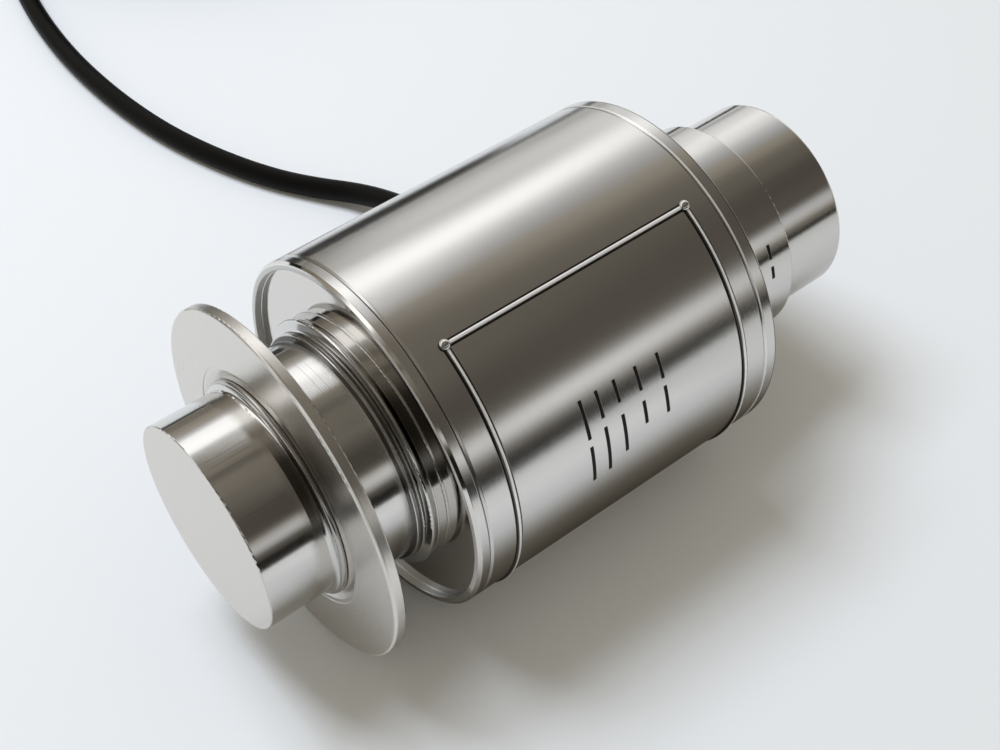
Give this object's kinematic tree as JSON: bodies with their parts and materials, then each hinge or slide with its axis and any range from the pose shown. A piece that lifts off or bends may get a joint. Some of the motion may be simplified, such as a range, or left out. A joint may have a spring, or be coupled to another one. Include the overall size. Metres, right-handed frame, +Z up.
{
  "type": "column load cell",
  "caption": "Cylindrical steel column load cell lying on its side, with a sealed tubular housing, base disc, bellows and a long coiled cable.",
  "frame": {"origin": "on the floor under the middle of the column's length, the cell lying on its side", "axes": "+X along the load axis from the base end with the disc to the top end, +Z up, +Y towards the cable gland"},
  "size_m": [0.2155, 0.3677, 0.0775],
  "materials": {
    "column_steel": "turned and polished stainless steel",
    "disc_steel": "fine turned stainless steel",
    "housing_steel": "satin stainless steel, brushed round the housing",
    "plate_steel": "mirror-turned stainless steel",
    "bellows_steel": "bright formed stainless steel",
    "trim_steel": "bright stainless steel",
    "gland_nickel": "nickel-plated brass, satin",
    "gland_rubber": "matte black rubber",
    "cable_jacket": "matte black jacket",
    "tie_plastic": "black plastic strap",
    "core_insulation": "thin coloured insulation",
    "ferrule_tin": "tinned copper",
    "gauge_foil": "amber film with metal foil",
    "board_laminate": "green glass-fibre laminate",
    "fixing_brass": "plain brass",
    "resistor_film": "lacquered resistor"
  },
  "bodies": {
    "root": {"load_column": "column_steel", "base_disc": "disc_steel", "disc_retaining_ring": "trim_steel", "bellows": "bellows_steel", "bellows_weld_ring": "trim_steel", "bellows_outer_ring": "trim_steel", "lower_end_plate": "plate_steel", "housing_tube": "housing_steel", "upper_end_plate": "plate_steel", "upper_diaphragm": "bellows_steel", "panel_frame_bead": "trim_steel", "panel_corner_studs": "trim_steel", "cable_boss": "housing_steel", "gland_body": "gland_nickel", "gland_seal": "gland_rubber", "gland_nut": "gland_nickel", "strain_relief": "gland_rubber", "inner_lead": "cable_jacket", "lead_cores": "core_insulation", "strain_gauges": "gauge_foil", "gauge_leads": "core_insulation", "terminal_board": "board_laminate", "board_standoffs": "fixing_brass", "board_screws": "fixing_brass", "trim_resistors": "resistor_film", "cable": "cable_jacket", "cable_coil": "cable_jacket", "coil_ties": "tie_plastic", "end_sleeve": "gland_rubber", "conductors": "core_insulation", "conductor_ferrules": "ferrule_tin"}
  },
  "joints": []
}
